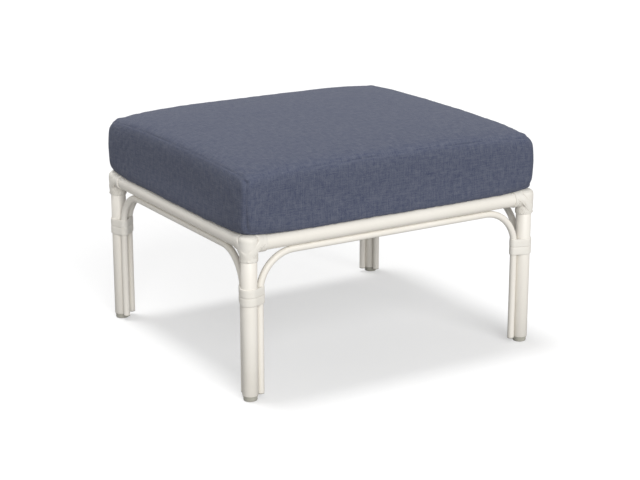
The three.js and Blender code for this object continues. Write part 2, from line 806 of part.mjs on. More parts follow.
function frameGroup() {
  const frame = new THREE.Group();
  const post = postGeometry();
  const cap = postCapGeometry();
  const glide = glideGeometry();
  const cornerBinding = cornerBindingGeometry();
  const midBinding = midBindingGeometry();
  for (const { name, x, y, turn } of CORNERS) {
    const leg = new THREE.Group();
    leg.position.set(x, y, 0);
    leg.rotation.z = turn;
    frame.add(leg);
    addMesh(leg, `post_${name}`, post, ivoryPaint());
    addMesh(leg, `post_cap_${name}`, cap, ivoryPaint());
    addMesh(leg, `glide_${name}`, glide, greyPlastic());
    addMesh(leg, `mid_binding_${name}`, midBinding, ivoryStrap());
    addMesh(leg, `corner_binding_${name}`, cornerBinding, ivoryStrap()).position.z = RAIL_Z;
  }
  const plug = plugGeometry();
  for (const side of SIDES) {
    const face = new THREE.Group();
    face.position.set(side.x, side.y, 0);
    face.rotation.z = side.turn;
    frame.add(face);
    addMesh(face, `rail_${side.name}`, railGeometry(side), ivoryPaint()).position.z = RAIL_Z;
    addMesh(face, `arch_${side.name}`, archGeometry(side), ivoryPaint());
    const foot = side.reach - POLE_OFFSET;
    addMesh(face, `arch_plug_${side.name}_1`, plug, ivoryPaint()).position.x = -foot;
    addMesh(face, `arch_plug_${side.name}_2`, plug, ivoryPaint()).position.x = foot;
  }
  const bar = barGeometry();
  const pitch = (2 * POST_X) / (BAR_COUNT + 1);
  for (let i = 1; i <= BAR_COUNT; i += 1) {
    addMesh(frame, `deck_bar_${i}`, bar, ivoryPaint()).position.x = i * pitch - POST_X;
  }
  return frame;
}

function cushionGroup() {
  const cushion = new THREE.Group();
  addMesh(cushion, 'cushion_cover', coverGeometry(), blueFabric());
  addMesh(cushion, 'foam_core', cushionGeometry(COVER_THICKNESS + FIT, true), paleFoam());
  addMesh(cushion, 'zip_tape', zipTapeGeometry(), blueTape());
  addMesh(cushion, 'zip_slider', sliderGeometry(), zincMetal());
  return cushion;
}

const footstool = new THREE.Group();
footstool.add(frameGroup(), cushionGroup());

export default footstool;
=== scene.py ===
"""Looks of an outdoor ottoman footstool: ivory painted tube, strap bindings, grey glides and a
slate blue box cushion. Metres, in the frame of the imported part: +Z up, X along the long side."""
import math

import bpy
import numpy as np
from mathutils import Matrix, Vector, noise
from mathutils.bvhtree import BVHTree


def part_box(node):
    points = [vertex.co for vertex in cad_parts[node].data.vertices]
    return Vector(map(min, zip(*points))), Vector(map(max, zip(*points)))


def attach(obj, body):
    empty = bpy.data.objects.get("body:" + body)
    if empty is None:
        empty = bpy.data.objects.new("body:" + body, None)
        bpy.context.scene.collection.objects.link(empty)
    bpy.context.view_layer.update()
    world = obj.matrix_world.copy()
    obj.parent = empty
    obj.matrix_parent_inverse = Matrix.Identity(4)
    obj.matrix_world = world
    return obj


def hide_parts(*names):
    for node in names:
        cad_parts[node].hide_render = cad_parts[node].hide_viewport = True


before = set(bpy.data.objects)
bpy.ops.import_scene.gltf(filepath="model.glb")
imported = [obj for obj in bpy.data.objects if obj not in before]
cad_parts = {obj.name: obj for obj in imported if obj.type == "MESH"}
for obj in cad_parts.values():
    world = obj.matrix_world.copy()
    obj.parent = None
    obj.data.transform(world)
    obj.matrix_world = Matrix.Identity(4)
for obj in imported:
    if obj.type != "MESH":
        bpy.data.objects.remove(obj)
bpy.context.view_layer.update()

CORNERS = ("front_left", "front_right", "back_right", "back_left")
SIDES = ("front", "right", "back", "left")
QUARTER_TURN = math.pi / 2
UP = Vector((0, 0, 1))
ORIGIN = Vector((0, 0, 0))
TINY = 1e-6

# Camera, at the photograph's viewing angle
IMAGE_WIDTH = 640
SENSOR_WIDTH = 36
FOCAL_PIXELS = 1712
CAMERA_PLACE = (-1.826, -2.993, 1.240)
CAMERA_YAW = 0.5497
CAMERA_PITCH = 0.2887

# Light. A share is a part of the light that a level white floor needs to look white. Each lamp has
# the way that its light travels, its share and its angle.
LAMPS = {
    "key": ((0.10, -0.14, -1.0), 0.42, math.radians(14)),
    "fill": ((0.17, 0.94, -0.42), 0.31, math.radians(50)),
    "back": ((0.15, -0.95, -0.33), 0.05, math.radians(50)),
}
LAMP_DISTANCE = 5
SKY_SHARE = 0.34
FLOOR_HALF = 30
FLOOR_GLOW = 0.40
FLOOR_SHARE = 0.62
FLOOR_BOUNCE = 0.42

# Tubes, and the air left where one piece meets another
TUBE_WALL = 0.0016
TUBE_EDGE = 0.0005
TUBE_SEGMENTS = 64
POLE_WALL = 0.0014
POLE_SEGMENTS = 36
BEND_RADIUS = 0.076
BEND_STEPS = 28
FIT = 0.0003

# Edges that turn by more than this stay sharp
TUBE_SHARP = math.radians(50)
TURNED_SHARP = math.radians(40)
BAND_SHARP = math.radians(60)
TAPE_SHARP = math.radians(35)

# Glides and plugs. An edge is a list of insets from the radius and distances from the end, and a
# foot or stem is a share of the widest radius.
GLIDE_FOOT = 0.92
GLIDE_STEM = 0.85
GLIDE_EDGE = ((0.0026, 0.0), (0.0009, 0.0005), (0.0, 0.0022))
GLIDE_FLANGE = 0.0022
GLIDE_FLANGE_EDGE = ((0.0004, 0.0019), (0.0, 0.0015), (0.0, 0.0004), (0.0004, 0.0))
PLUG_STEM = 0.74
PLUG_EDGE = ((0.0012, 0.0), (0.0003, 0.0003), (0.0, 0.0009))

# Straps. The crown is half a section, in shares of the strap's width and thickness.
STRAP_THICKNESS = 0.0022
STRAP_CROWN = ((0.5, 0.6), (0.47, 0.82), (0.36, 0.95), (0.15, 1.0))
STRAP_STATIONS = 72
STRAP_WANDER = 0.0003
WANDER_SCALE = 1.7
SWELL_SCALE = 2.5
SWELL_PER_WANDER = 200
TUCK_SHARE = 0.8

# Corner bindings: collars, slanting turns, a domed pad, knobs and one tucked end
COLLAR_REACHES = (0.0285, 0.0195)
COLLAR_SIZE = (0.0098, STRAP_THICKNESS)
COLLAR_POINTS = 96
INWARD = Vector((1, 1, -1)).normalized()
DIAGONAL_REACHES = (0.0245, 0.0195)
DIAGONAL_LIFTS = (0.0010, 0.0018)
DIAGONAL_SIZE = (0.0105, 0.0018)
DIAGONAL_FILLING = 2.2
DIAGONAL_EASING = 6
DIAGONAL_SEED = 20
LOOP_POINTS = 160
DOME_THICKNESS = 0.0034
DOME_PROFILE = ((0.0028, -0.0215), (0.0008, -0.013), (0.0, -0.004), (0.0, 0.0085),
                (0.0012, 0.0132), (0.0046, 0.0168), (0.009, 0.0187))
DOME_TOP_SHARE = 0.2
DOME_TOP = 0.0197
KNOB_REACH = 0.030
KNOB_SIZE = (0.0035, 0.0035, 0.0016)
STRAP_END_WAY = Vector((-0.45, -0.89, 0))
STRAP_END_DROP = 0.0300
STRAP_END_SIZE = (0.0050, 0.0022, 0.0015)
CORNER_SEED = 50.0
STRAP_VOXEL = 0.0008
SMOOTHING_FACTOR = 0.5
SMOOTHING = 4
OUTER_SMOOTHING = 16
OUTER_GAIN = 1.4

# Creases where turns cross. Scales are noise cells in a metre. Patches are a factor's mean, how much
# noise moves it, and its limits.
CREASE_DEPTH = 0.0006
CREASE_PITCH = 0.0062
CREASE_SHARPNESS = 2.2
CREASE_WANDER = 0.8
CREASE_WANDER_SCALE = 75
CREASE_PATCH_SCALE = 130
CREASE_PATCHES = (0.8, 1.6, 0.1, 1.3)
CREASE_FACING = 0.42
CREASE_FADE = 5

# Leg bindings
BAND_CENTRE = 0.211
BAND_TURN = 0.017
BAND_WIDTH = 0.99 * BAND_TURN
BAND_THICKNESS = 0.0018
BAND_STATIONS = 120
BAND_WANDER = 0.0002
BAND_SEED = 7.0
TUCK_SIZE = (0.0014, 0.0042, 0.006)

# Cushion, before it is filled. Corner drops are for left and right, each front and back. Powers and
# fades say how fast something ends, away from the cushion's edges, top or underside.
CUSHION_HALF_X = 0.350
CUSHION_HALF_Y = 0.312
CUSHION_LOW = 0.3303
CUSHION_FLAT_TOP = 0.4575
CUSHION_MIDDLE = (CUSHION_LOW + CUSHION_FLAT_TOP) / 2
CUSHION_CROWN = 0.0165
CROWN_POWER = 3.2
CROWN_RISE_POWER = 4
CUSHION_SWELL = 0.003
PLAN_RADIUS = 0.020
TOP_RADIUS = 0.027
LOW_RADIUS = 0.012
LOW_FADE = 3
DRAW_IN = 0.006
LOW_DRAW_IN = 0.0015
DRAW_IN_POWER = 3
CORNER_DROPS = ((0.006, 0.012), (0.012, 0.005))
CORNER_LIFT = 0.005
LIFT_FADE = 2.2
CORNER_POWER = 5
CORNER_ROUNDING = (0.006, 0.006, 0.016)
CORNER_ROUNDING_POWER = 12
RAIL_CLEARANCE = 0.0006
RAIL_REACH = 0.8
EDGE_LINES = (0.0, 0.0016, 0.0036, 0.0065, 0.0105, 0.016, 0.0225)
GRID_STEPS = (0.0085, 0.0085, 0.0075)
ZIP_LINES = (0.001, 0.0045, 0.0065, 0.0095)
ZIP_LINE_GAP = 0.0012

# Cloth simulation that fills the cushion
CLOTH_SETTINGS = {
    "quality": 5,
    "mass": 0.4,
    "tension_stiffness": 28,
    "compression_stiffness": 28,
    "shear_stiffness": 14,
    "bending_stiffness": 1.2,
    "use_pressure": True,
    "uniform_pressure_force": 4.0,
    "vertex_group_mass": "hold",
    "pin_stiffness": 1.0,
    "vertex_group_shrink": "shrink",
    "shrink_min": 0.0,
    "shrink_max": 0.05,
}
FILL_FRAMES = 20
CLOTH_HOLD = 0.42
CLOTH_CAP = 0.022
GATHER_REACH = 0.008

# Seams, puckers, pinched corners and the zip's recess. Scales are noise cells in a metre, with their
# weights for puckers. Panels end at shares of the cushion's half height.
SEAM_DEPTH = 0.0014
SEAM_WIDTH = 0.0026
SEAM_SCALE = 11
SEAM_PATCHES = (0.75, 1.3, 0.45, 1.25)
UPRIGHT_SEAM_DEPTH = 0.0019
UPRIGHT_SEAM_WIDTH = 0.0055
PUCKER_DEPTH = 0.0010
PUCKER_REACH = 0.011
PUCKER_SCALES = ((95, 1.0), (42, 0.6))
DIMPLE_DEPTH = 0.0026
DIMPLE_RADIUS = 0.014
DIMPLE_DROP = 0.004
DIMPLE_STRETCH = 0.8
SIDE_PANEL_END = 0.97
SIDE_PANEL_FADE = 12
UNDERSIDE_END = -0.99
BROAD_DEPTH = 0.0009
BROAD_SCALE = 14
BACK_FACING = 0.8
ZIP_END_REACH = 0.008
ZIP_END_FADE = 0.006
ZIP_RECESS = 0.0012
ZIP_RECESS_HALF = 0.006
ZIP_RECESS_POWER = 4
ZIP_LIP = 0.0011
ZIP_LIP_PLACE = 0.0082
ZIP_LIP_WIDTH = 0.0028

# Cloth pattern. The shift keeps the panels' patterns apart.
THREAD_PITCH = 0.0011
WEAVE_SHARE = 0.07
FADED_SHARE = 0.25
PANEL_SHIFT = 1.37

# Zip. The tape's section is in shares of its half width and of its lift over the cloth.
TAPE_SECTION = ((-1.0, 0.0), (-0.94, 1.0), (-0.3, 1.0), (-0.22, 0.2),
                (0.22, 0.2), (0.3, 1.0), (0.94, 1.0), (1.0, 0.0))
TAPE_LIFT = 0.0005
TAPE_SINK = 0.0012
TAPE_STATIONS = 220
COIL_PITCH = 0.0017
COIL_RADIUS = 0.00045
COIL_HALF = 0.0016
COIL_ARCH = 1.4
COIL_SEAT = 0.3
COIL_SHARES = (-1.0, -0.6, 0.0, 0.6, 1.0)
COIL_SEGMENTS = 6
OUTLINE_POINTS = 40
SLIDER_LEVELS = ((0.0006, 0.0), (0.0, 0.0006), (0.0, 0.0016), (0.0007, 0.0022))
SLIDER_ROUNDING = 0.45
BRIDGE_REACH = 0.5
BRIDGE_LIFT = 0.002
BRIDGE_RISE = 0.0018
BRIDGE_RADII = (0.0008, 0.0003)
BRIDGE_STEPS = 12
BRIDGE_SEGMENTS = 12
PULL_HALF_X = 0.0024
PULL_GAP = 0.0004
PULL_ROUNDING = 0.95
PULL_HOLE = (0.5, 0.72)
PULL_HOLE_ROUNDING = 0.45
PULL_THICKNESS = 0.0012
PULL_EDGE = 0.0003
PULL_CLEARANCE = 0.0011
PULL_TOUCH = (-0.9, -0.5, 0, 0.5)


# Materials

class Nodes:
    """The node tree of a material or world, with short ways to add and feed nodes."""

    def __init__(self, owner, shader="Principled BSDF"):
        owner.use_nodes = True
        self.owner = owner
        self.tree = owner.node_tree
        self.shader = self.tree.nodes[shader]

    def feed(self, socket, value):
        if isinstance(value, bpy.types.NodeSocket):
            self.tree.links.new(value, socket)
        else:
            socket.default_value = value

    def add(self, kind, inputs=None, **settings):
        node = self.tree.nodes.new("ShaderNode" + kind)
        for name, value in settings.items():
            setattr(node, name, value)
        for name, value in (inputs or {}).items():
            self.feed(node.inputs[name], value)
        return node

    def shade(self, inputs):
        """Feeds the shader's own inputs."""
        for name, value in inputs.items():
            self.feed(self.shader.inputs[name], value)
        return self.owner

    def math(self, operation, *values):
        node = self.add("Math", operation=operation)
        for socket, value in zip(node.inputs, values):
            self.feed(socket, value)
        return node.outputs[0]

    def noise(self, vector, scale, detail=2.0, roughness=0.5):
        inputs = {"Vector": vector, "Scale": scale, "Detail": detail, "Roughness": roughness}
        return self.add("TexNoise", inputs).outputs["Fac"]

    def between(self, factor, low, high):
        """A value that goes from low to high as factor goes from 0 to 1."""
        inputs = {"Value": factor, "To Min": low, "To Max": high}
        return self.add("MapRange", inputs).outputs["Result"]

    def share(self, value, low, high):
        """How far a value is from low to high, from 0 to 1."""
        inputs = {"Value": value, "From Min": low, "From Max": high}
        return self.add("MapRange", inputs).outputs["Result"]

    def blend(self, factor, first, second):
        node = self.add("Mix", data_type="RGBA")
        for socket, value in zip((node.inputs["Factor"], node.inputs[6], node.inputs[7]),
                                 (factor, first, second)):
            self.feed(socket, value)
        return node.outputs[2]

    def scaled(self, vector, scale):
        return self.add("Mapping", {"Vector": vector, "Scale": scale}).outputs[0]

    def bump(self, height, strength, distance, normal=None):
        inputs = {"Height": height, "Strength": strength, "Distance": distance}
        if normal is not None:
            inputs["Normal"] = normal
        return self.add("Bump", inputs).outputs["Normal"]

    def place(self):
        return self.add("TexCoord").outputs["Object"]


def new_material(name):
    return Nodes(bpy.data.materials.new(name))


def srgb(red, green, blue):
    """A colour written as it shows on screen, from 0 to 255, as the linear one that nodes take."""
    levels = [value / 255 for value in (red, green, blue)]
    linear = [c / 12.92 if c <= 0.04045 else ((c + 0.055) / 1.055) ** 2.4 for c in levels]
    return (*linear, 1.0)


def ivory_paint():
    """Satin powder coat: a fine orange peel, with broad, faint changes of tone and gloss."""
    n = new_material("ivory_paint")
    place = n.place()
    broad = n.noise(place, scale=11.0)
    peel = n.noise(place, scale=420.0)
    return n.shade({
        "Base Color": n.blend(broad, srgb(228, 223, 213), srgb(235, 231, 223)),
        "Roughness": n.between(n.noise(place, scale=60.0, detail=3.0), low=0.34, high=0.5),
        "Specular IOR Level": 0.38,
        "Normal": n.bump(peel, strength=0.22, distance=0.0004),
    })


def painted_strap():
    """Strap under the same paint: a leathery grain, with painted shade darkening the hollows where the
    turns meet.
    """
    n = new_material("painted_strap")
    place = n.place()
    grain = n.noise(n.scaled(place, (1.0, 1.0, 2.2)), scale=380.0, detail=4.0, roughness=0.6)
    broad = n.noise(place, scale=45.0)
    # Painted shade: where Pointiness finds a hollow between turns, the tone is blended towards a dark
    # colour.
    beyond_painted_shade = n.share(n.add("NewGeometry").outputs["Pointiness"], low=0.44, high=0.5)
    tone = n.blend(broad, srgb(224, 219, 209), srgb(231, 228, 221))
    return n.shade({
        # painted shade in the hollows between the turns
        "Base Color": n.blend(beyond_painted_shade, srgb(172, 163, 148), tone),
        "Roughness": n.between(grain, low=0.42, high=0.62),
        "Specular IOR Level": 0.4,
        "Normal": n.bump(grain, strength=0.35, distance=0.0006),
    })


def grey_plastic():
    """Moulded plastic, speckled and scuffed up and down."""
    n = new_material("grey_plastic")
    place = n.place()
    speckle = n.noise(place, scale=900.0)
    scuff = n.noise(n.scaled(place, (1.0, 1.0, 6.0)), scale=90.0, detail=4.0)
    return n.shade({
        "Base Color": n.blend(scuff, srgb(160, 158, 148), srgb(186, 183, 172)),
        "Roughness": n.between(scuff, low=0.42, high=0.6),
        "Normal": n.bump(speckle, strength=0.25, distance=0.0003),
    })


def blue_cloth():
    """Plain woven cloth in close shades of slate blue: slubs both ways, blotches and a weave."""
    n = new_material("blue_cloth")
    uv = n.add("UVMap", uv_map="cloth").outputs[0]
    parts = n.add("SeparateXYZ", {"Vector": uv})
    warp, weft = (n.math("SINE", n.math("MULTIPLY", parts.outputs[axis], 2 * math.pi / THREAD_PITCH))
                  for axis in ("X", "Y"))
    weave = n.math("MULTIPLY", warp, weft)
    warp_slub = n.noise(n.scaled(uv, (420.0, 34.0, 1.0)), scale=1.0, roughness=0.6)
    weft_slub = n.noise(n.scaled(uv, (30.0, 420.0, 1.0)), scale=1.0, roughness=0.6)
    slubs = n.math("ADD", warp_slub, weft_slub)
    blotches = n.noise(uv, scale=95.0, detail=3.0, roughness=0.6)
    flecks = n.math("ADD", blotches, n.noise(uv, scale=480.0, detail=1.0))
    mixed = n.math("ADD", n.math("ADD", slubs, flecks), n.math("MULTIPLY", weave, WEAVE_SHARE))
    tone = n.share(mixed, low=1.58, high=2.42)
    cloth = n.blend(tone, srgb(55, 62, 86), srgb(101, 105, 118))
    faded = n.blend(n.noise(n.place(), scale=9.0), srgb(74, 79, 99), srgb(86, 90, 106))
    fine = n.bump(weave, strength=0.2, distance=0.0002)
    return n.shade({
        "Base Color": n.blend(FADED_SHARE, cloth, faded),
        "Roughness": n.between(tone, low=0.78, high=0.92),
        "Specular IOR Level": 0.2,
        "Sheen Weight": 0.05,
        "Sheen Roughness": 0.5,
        "Normal": n.bump(mixed, strength=0.3, distance=0.0005, normal=fine),
    })


def zip_tape_cloth():
    n = new_material("zip_tape_cloth")
    rib = n.noise(n.place(), scale=1500.0)
    return n.shade({
        "Base Color": n.blend(rib, srgb(52, 57, 76), srgb(74, 79, 98)),
        "Roughness": 0.85,
        "Normal": n.bump(rib, strength=0.4, distance=0.0003),
    })


def zip_coil():
    n = new_material("zip_coil")
    grain = n.noise(n.place(), scale=600.0)
    return n.shade({
        "Base Color": n.blend(grain, srgb(44, 48, 64), srgb(60, 64, 82)),
        "Roughness": n.between(grain, low=0.35, high=0.5),
    })


def dull_zinc():
    n = new_material("dull_zinc")
    grain = n.noise(n.scaled(n.place(), (1.0, 1.0, 8.0)), scale=700.0, detail=3.0)
    return n.shade({
        "Base Color": n.blend(grain, srgb(138, 141, 147), srgb(170, 172, 176)),
        "Metallic": 1.0,
        "Roughness": n.between(grain, low=0.3, high=0.5),
    })


# Finishes: a material, the body that it rides on and its slot
PAINT = (ivory_paint(), "frame", "frame_paint")
STRAP = (painted_strap(), "frame", "binding_strap")
PLASTIC = (grey_plastic(), "frame", "glide_plastic")
CLOTH = (blue_cloth(), "cushion", "cover_fabric")
TAPE = (zip_tape_cloth(), "cushion", "zip_tape_fabric")
COIL = (zip_coil(), "cushion", "zip_tape_fabric")
ZINC = (dull_zinc(), "cushion", "zip_metal")


# Pieces and meshes. A shell is a list of points and a list of faces.

def linked(name, data):
    """A new object in the scene."""
    piece = bpy.data.objects.new(name, data)
    bpy.context.scene.collection.objects.link(piece)
    return piece


def new_mesh(name, points, faces):
    mesh = bpy.data.meshes.new(name)
    mesh.from_pydata([tuple(p) for p in points], [], faces)
    return mesh


def dress(name, mesh, finish, replaced=(), sharp=None):
    """A piece with a finish, which stands for CAD nodes."""
    material, body, slot = finish
    mesh.name = name
    piece = linked(name, mesh)
    mesh.materials.clear()
    mesh.materials.append(material)
    mesh.polygons.foreach_set("use_smooth", [True] * len(mesh.polygons))
    if sharp is not None:
        mesh.set_sharp_from_angle(angle=sharp)
    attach(piece, body)
    if replaced:
        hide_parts(*replaced)
    return piece


def add_piece(name, shell, finish, replaced=(), sharp=None):
    mesh = new_mesh(name, *shell)
    mesh.validate()
    dress(name, mesh, finish, replaced, sharp)


def weigh(piece, name, weights):
    """Gives a piece a vertex group."""
    group = piece.vertex_groups.new(name=name)
    for index in np.nonzero(weights > 0)[0]:
        group.add([int(index)], float(weights[index]), "REPLACE")


def soften(piece, rounds, group=""):
    modifier = piece.modifiers.new("soften", "SMOOTH")
    modifier.factor = SMOOTHING_FACTOR
    modifier.iterations = rounds
    modifier.vertex_group = group


def applied(piece):
    """The mesh that a piece has once its modifiers are worked out. The piece itself goes."""
    graph = bpy.context.evaluated_depsgraph_get()
    graph.update()
    mesh = bpy.data.meshes.new_from_object(piece.evaluated_get(graph))
    bpy.data.objects.remove(piece)
    return mesh


def read_points(mesh, name="co"):
    values = np.empty(len(mesh.vertices) * 3)
    mesh.vertices.foreach_get(name, values)
    return values.reshape(-1, 3)


def read_attribute(mesh, name):
    values = np.empty(len(mesh.vertices))
    mesh.attributes[name].data.foreach_get("value", values)
    return values


def push_in(mesh, depth):
    """Moves each point of a mesh in along its normal."""
    points = read_points(mesh) - read_points(mesh, "normal") * depth[:, None]
    mesh.vertices.foreach_set("co", points.ravel())
    mesh.update()


def noise_at(points, scale, shift=(0, 0, 0)):
    return np.array([noise.noise(Vector(p) * scale + Vector(shift)) for p in points])


def patches(noises, mean, swing, low, high):
    """A factor that noise moves about its mean, between two limits."""
    return np.clip(mean + swing * noises, low, high)


def fading(distance, reach, power=2):
    """One at no distance, falling smoothly to nothing past the reach."""
    return np.exp(-(distance / reach) ** power)


def circle(count):
    """Angles evenly spread round a circle."""
    return [2 * math.pi * i / count for i in range(count)]


def spokes(side, up, count):
    """Unit vectors evenly spread round a circle, between two that are square to each other."""
    return [side * math.cos(angle) + up * math.sin(angle) for angle in circle(count)]


def ring_faces(rings, count, close_rings=False):
    """Quads between rings of count points each, the last ring joined to the first if asked."""
    faces = []
    for i in range(rings if close_rings else rings - 1):
        low = i * count
        high = (i + 1) % rings * count
        for j in range(count):
            k = (j + 1) % count
            faces.append((low + j, low + k, high + k, high + j))
    return faces


def capped(points, count):
    """A shell of rings of count points each, with flat ends."""
    faces = ring_faces(len(points) // count, count)
    faces.append(tuple(range(count))[::-1])
    faces.append(tuple(range(len(points) - count, len(points))))
    return points, faces


def merged(shells):
    """Several closed shells as one."""
    points = []
    faces = []
    for shell_points, shell_faces in shells:
        start = len(points)
        points += [tuple(p) for p in shell_points]
        faces += [tuple(start + i for i in face) for face in shell_faces]
    return points, faces


def lathe(profile, centre, segments):
    """Rings about Z through the profile's radii and heights, from its lower to its upper end."""
    return [(centre.x + radius * math.cos(angle), centre.y + radius * math.sin(angle), height)
            for radius, height in profile for angle in circle(segments)]


def solid_lathe(profile, centre, segments):
    return capped(lathe(profile, centre, segments), segments)


def tube(stations, up, radii, segments):
    """A tube's wall along (point, direction) stations, whose directions are square to up: its
    outside out and its bore back."""
    points = []
    for radius, run in ((radii[0], stations), (radii[1], stations[::-1])):
        for centre, direction in run:
            points += [centre + radius * out for out in spokes(direction.cross(up), up, segments)]
    return points, ring_faces(2 * len(stations), segments, close_rings=True)


# Frame

def centre_of(node):
    low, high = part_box(node)
    return (low + high) / 2


def half_width(node):
    low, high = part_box(node)
    return (high.x - low.x) / 2


POST_RADIUS = half_width("post_front_left")


def softened(radius, end, edge, way=1):
    """Profile points of a rounded edge at an end that a piece leaves upwards or, at -1, downwards."""
    return [(radius - inset, end + way * distance) for inset, distance in edge]


def add_posts():
    for corner in CORNERS:
        node = f"post_{corner}"
        low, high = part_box(node)
        radius = half_width(node)
        bore = radius - TUBE_WALL
        profile = [
            (radius - TUBE_EDGE, low.z), (radius, low.z + TUBE_EDGE),
            (radius, high.z - TUBE_EDGE), (radius - TUBE_EDGE, high.z),
            (bore, high.z), (bore, low.z),
        ]
        points = lathe(profile, centre_of(node), TUBE_SEGMENTS)
        faces = ring_faces(len(profile), TUBE_SEGMENTS, close_rings=True)
        add_piece(f"leg_{corner}", (points, faces), PAINT, [node], TUBE_SHARP)


def add_glides():
    for corner in CORNERS:
        node = f"glide_{corner}"
        low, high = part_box(node)
        flange = half_width(node)
        foot, stem = flange * GLIDE_FOOT, flange * GLIDE_STEM
        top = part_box(f"post_{corner}")[0].z - FIT
        profile = [
            *softened(foot, low.z, GLIDE_EDGE), (foot, top - GLIDE_FLANGE),
            *softened(flange, top, GLIDE_FLANGE_EDGE, -1), (stem, top), (stem, high.z),
        ]
        shell = solid_lathe(profile, centre_of(f"post_{corner}"), TUBE_SEGMENTS)
        add_piece(f"foot_{corner}", shell, PLASTIC, [node], TURNED_SHARP)


def add_plugs():
    for side in SIDES:
        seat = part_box(f"arch_{side}")[0].z - FIT
        for number in (1, 2):
            node = f"arch_plug_{side}_{number}"
            low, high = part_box(node)
            radius = half_width(node)
            stem = radius * PLUG_STEM
            profile = softened(radius, low.z, PLUG_EDGE)
            profile += [(radius, seat), (stem, seat), (stem, high.z)]
            shell = solid_lathe(profile, centre_of(node), POLE_SEGMENTS)
            add_piece(f"pole_plug_{side}_{number}", shell, PLASTIC, [node], TURNED_SHARP)


def run_of(side):
    """The way that a side of the frame runs."""
    turn = SIDES.index(side) * QUARTER_TURN
    return Vector((math.cos(turn), math.sin(turn), 0))


def add_rails():
    for side in SIDES:
        node = f"rail_{side}"
        centre = centre_of(node)
        run = run_of(side)
        first, last = (centre_of(f"post_{corner}") for corner in CORNERS if side in corner.split("_"))
        half = abs((first - last).dot(run)) / 2 - POST_RADIUS - FIT
        stations = [(centre - run * half, run), (centre + run * half, run)]
        shell = tube(stations, UP, (POST_RADIUS, POST_RADIUS - TUBE_WALL), TUBE_SEGMENTS)
        add_piece(f"top_rail_{side}", shell, PAINT, [node], TUBE_SHARP)


def arch_stations(centre, run, half, foot, top):
    """Points and directions up one leg of an arch, round its two bends and down the other leg."""
    drop = Vector((0, 0, foot - centre.z))
    stations = [(centre - run * half + drop, UP)]
    for end in (-1, 1):
        for i in range(BEND_STEPS + 1):
            angle = QUARTER_TURN * (i / BEND_STEPS if end < 0 else 1 - i / BEND_STEPS)
            out = half - BEND_RADIUS * (1 - math.cos(angle))
            height = top - BEND_RADIUS * (1 - math.sin(angle))
            direction = run * math.sin(angle) - UP * math.cos(angle) * end
            point = Vector((centre.x, centre.y, height)) + run * out * end
            stations.append((point, direction.normalized()))
    stations.append((centre + run * half + drop, -UP))
    return stations


def add_arches():
    for side in SIDES:
        node = f"arch_{side}"
        low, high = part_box(node)
        size = high - low
        radius = min(size.x, size.y) / 2
        half = max(size.x, size.y) / 2 - radius
        run = run_of(side)
        stations = arch_stations(centre_of(node), run, half, low.z, high.z - radius)
        outside = Vector((run.y, -run.x, 0))
        shell = tube(stations, outside, (radius, radius - POLE_WALL), POLE_SEGMENTS)
        add_piece(f"arch_pole_{side}", shell, PAINT, [node], TUBE_SHARP)


# Bindings, made about a corner whose rails leave along +X and +Y and whose post leaves along -Z.
# An outline is a list of points, each with the direction that faces out of the strap's loop.

def corner_place(number, height):
    """The move from a corner's own frame to its post."""
    post = centre_of(f"post_{CORNERS[number]}")
    turn = Matrix.Rotation(number * QUARTER_TURN, 4, "Z")
    return Matrix.Translation((post.x, post.y, height)) @ turn


def drawn_tight(outline, u, v):
    """The part of an outline on the convex loop round it, seen along u and v, anticlockwise."""
    flat = [(point.dot(u), point.dot(v)) for point, _ in outline]
    order = sorted(range(len(flat)), key=flat.__getitem__)

    def chain(indices):
        kept = []
        for i in indices:
            while len(kept) > 1:
                a, b, c = flat[kept[-2]], flat[kept[-1]], flat[i]
                if (b[0] - a[0]) * (c[1] - a[1]) - (b[1] - a[1]) * (c[0] - a[0]) > 0:
                    break
                kept.pop()
            kept.append(i)
        return kept[:-1]

    return [outline[i] for i in chain(order) + chain(order[::-1])]


def eased(values, rounds):
    """Rows round a closed loop, each drawn towards its two neighbours some number of times."""
    for _ in range(rounds):
        values = (np.roll(values, 1, 0) + 2 * values + np.roll(values, -1, 0)) / 4
    return values


def evenly(outline, count):
    """Points and outward directions evenly spread round an outline, as two arrays."""
    closed = outline + outline[:1]
    spots, outs = (np.array([tuple(pair[which]) for pair in closed]) for which in (0, 1))
    steps = np.linalg.norm(np.diff(spots, axis=0), axis=1)
    reach = np.concatenate([[0], np.cumsum(steps)])
    wanted = np.linspace(0, reach[-1], count, endpoint=False)
    return [np.stack([np.interp(wanted, reach, rows[:, axis]) for axis in range(3)], 1)
            for rows in (spots, outs)]


def strap_band(outline, size, seed, wander=STRAP_WANDER, count=STRAP_STATIONS, under=0.5, easing=0):
    """A crowned strap of some width and thickness round an outline, a little uneven. Under is how
    far it reaches in, in thicknesses, and easing rounds off its loop."""
    width, thickness = size
    place, out = (eased(values, easing) for values in evenly(outline, count))
    out /= np.linalg.norm(out, axis=1, keepdims=True)
    along = np.roll(place, -1, 0) - np.roll(place, 1, 0)
    along /= np.linalg.norm(along, axis=1, keepdims=True)
    across = np.cross(out, along)
    across /= np.linalg.norm(across, axis=1, keepdims=True)
    out = np.cross(along, across)
    section = [(-0.5, -under), (0.5, -under), *STRAP_CROWN]
    section += [(-w, h) for w, h in STRAP_CROWN[::-1]]
    points = []
    for i, angle in enumerate(circle(count)):
        around = Vector((math.cos(angle), math.sin(angle), seed))
        drift = wander * noise.noise(around * WANDER_SCALE)
        swell = 1 + SWELL_PER_WANDER * wander * noise.noise(around * SWELL_SCALE)
        for w, h in section:
            height = h * thickness * (swell if h > 0 else 1)
            points.append(Vector(place[i] + across[i] * (w * width + drift) + out[i] * height))
    return points, ring_faces(count, len(section), close_rings=True)


def member_axes():
    """The three members at a corner: the way each leaves, and two ways square to it."""
    x, y, z = Vector((1, 0, 0)), Vector((0, 1, 0)), Vector((0, 0, 1))
    return [(x, y, z), (y, z, x), (-z, x, -y)]


def collar_outline(member, radius, reach):
    away, side, up = member
    return [(away * reach + out * radius, out) for out in spokes(side, up, COLLAR_POINTS)]


